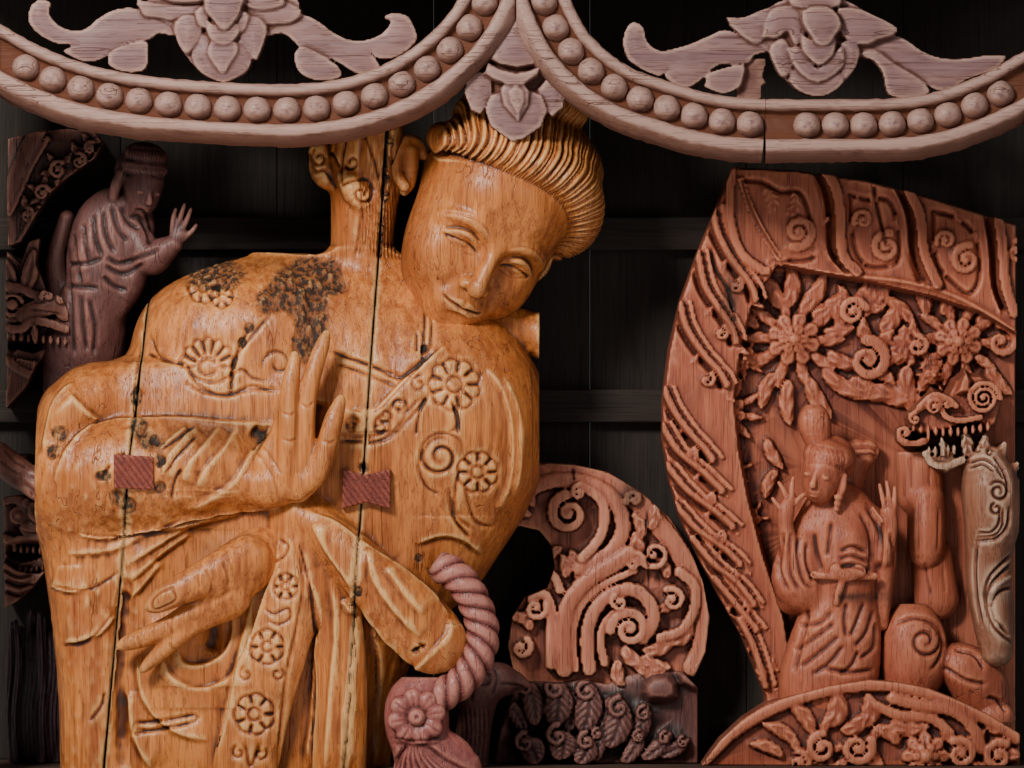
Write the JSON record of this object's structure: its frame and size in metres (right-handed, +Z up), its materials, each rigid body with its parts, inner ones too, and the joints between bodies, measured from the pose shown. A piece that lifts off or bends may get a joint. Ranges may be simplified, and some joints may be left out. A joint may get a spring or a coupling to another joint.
{
  "type": "carved temple facade bay",
  "caption": "Carved timber bay of a temple facade: a robed figure under a beaded two-lobed arch, with scroll panels, dragons and small figures, in a plain niche frame.",
  "frame": {"origin": "middle of the sill's underside, at the foot of the bay", "axes": "+X across the bay to the viewer's right, +Y back through the wall, +Z up"},
  "size_m": [1.4, 0.35, 1.13],
  "materials": {
    "gold_timber": "oiled, worn",
    "arch_timber": "weathered, worn",
    "red_timber": "stained, worn",
    "curl_timber": "stained, worn",
    "rope_timber": "stained, worn",
    "dark_timber": "stained, dusty",
    "key_timber": "oiled",
    "pale_timber": "worn smooth",
    "board_timber": "rough, dark",
    "frame_timber": "planed, dark"
  },
  "bodies": {
    "root": {"sill": "frame_timber", "head_board": "frame_timber", "left_post": "frame_timber", "right_post": "frame_timber", "wall_board_1": "board_timber", "wall_board_2": "board_timber", "wall_board_3": "board_timber", "wall_board_4": "board_timber", "wall_board_5": "board_timber", "wall_board_6": "board_timber", "wall_board_7": "board_timber", "upper_rail": "board_timber", "lower_rail": "board_timber", "arch_left": "arch_timber", "arch_right": "arch_timber", "arch_far": "arch_timber", "palmette_left": "arch_timber", "palmette_right": "arch_timber", "pendant_leaf": "arch_timber", "left_stave": "gold_timber", "centre_stave": "gold_timber", "right_stave": "gold_timber", "head": "gold_timber", "butterfly_key": "key_timber", "square_patch": "key_timber", "rope": "rope_timber", "scroll_panel": "red_timber", "scroll_base": "red_timber", "stem": "red_timber", "cloud_scroll": "red_timber", "attendant": "red_timber", "dragon_upper": "red_timber", "dragon_lower": "pale_timber", "vine_curl": "curl_timber", "leaf_cluster": "dark_timber", "bird_head": "dark_timber", "left_panel": "dark_timber", "left_dragon_upper": "dark_timber", "left_wheel": "dark_timber", "left_attendant": "dark_timber", "left_dragon_lower": "dark_timber", "claw_hand": "dark_timber", "left_fringe": "dark_timber"}
  },
  "joints": []
}
